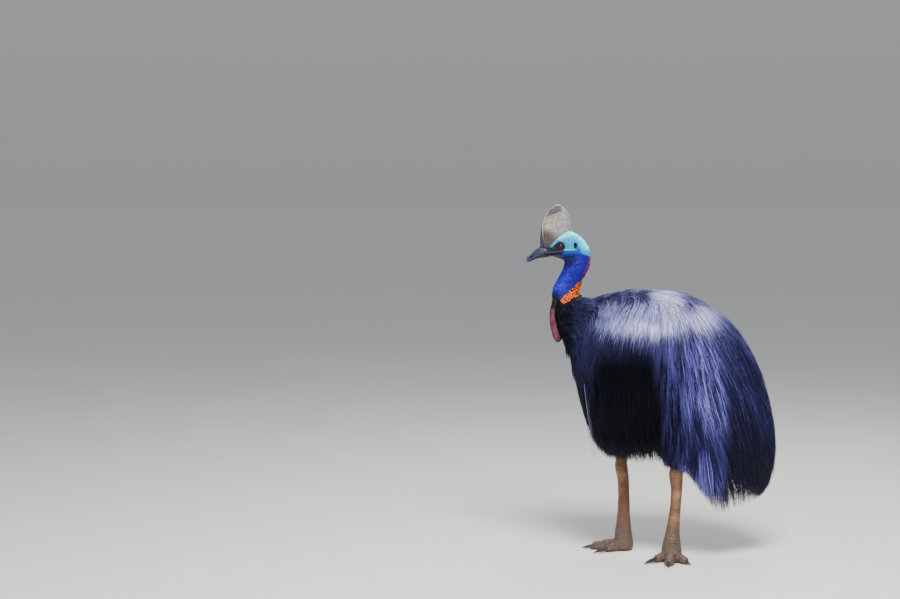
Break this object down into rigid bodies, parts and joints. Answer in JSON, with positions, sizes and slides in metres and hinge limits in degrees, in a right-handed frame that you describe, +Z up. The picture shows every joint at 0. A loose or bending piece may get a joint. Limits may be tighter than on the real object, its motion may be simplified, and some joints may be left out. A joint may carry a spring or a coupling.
{
  "type": "standing cassowary figure",
  "caption": "Life-size adult cassowary standing still: tall casque on the head, bare blue neck with hanging wattles, drooping dark plumage and bare scaly legs.",
  "frame": {"origin": "middle of the bounding box, on the floor it stands on", "axes": "+Z up; the bird faces -X, and its left side is towards -Y"},
  "size_m": [1.076, 0.52, 1.489],
  "materials": {
    "body_plumage": "long dry black plumes with a blue sheen over the fleshy body",
    "rump_plumage": "hanging curtain of long black hair-like plumes",
    "head_skin": "bare thin turquoise skin, almost white on the crown",
    "neck_skin": "bare wrinkled cobalt skin with crimson nape and orange patch",
    "wattle_skin": "soft crimson skin lobes",
    "eye": "wet clear cornea over a red-brown iris",
    "casque_horn": "worn grey-tan horn, darker at the top",
    "bill_horn": "dark slate horn, paler at the tip",
    "leg_scales": "dry brown overlapping scales",
    "claw_horn": "dark smooth horn"
  },
  "bodies": {
    "root": {"back": "body_plumage", "bill_lower": "bill_horn", "bill_upper": "bill_horn", "breast": "body_plumage", "casque": "casque_horn", "claw_inner_left": "claw_horn", "claw_inner_right": "claw_horn", "claw_middle_left": "claw_horn", "claw_middle_right": "claw_horn", "claw_outer_left": "claw_horn", "claw_outer_right": "claw_horn", "eye_left": "eye", "eye_right": "eye", "head": "head_skin", "neck_base": "body_plumage", "neck_lower": "neck_skin", "neck_upper": "neck_skin", "pad_left": "leg_scales", "pad_right": "leg_scales", "rump": "rump_plumage", "shank_left": "leg_scales", "shank_right": "leg_scales", "tail": "rump_plumage", "thigh_left": "body_plumage", "thigh_right": "body_plumage", "toe_inner_left": "leg_scales", "toe_inner_right": "leg_scales", "toe_middle_left": "leg_scales", "toe_middle_right": "leg_scales", "toe_outer_left": "leg_scales", "toe_outer_right": "leg_scales", "wattle_left": "wattle_skin", "wattle_right": "wattle_skin", "wing_left": "body_plumage", "wing_right": "body_plumage"}
  },
  "joints": []
}
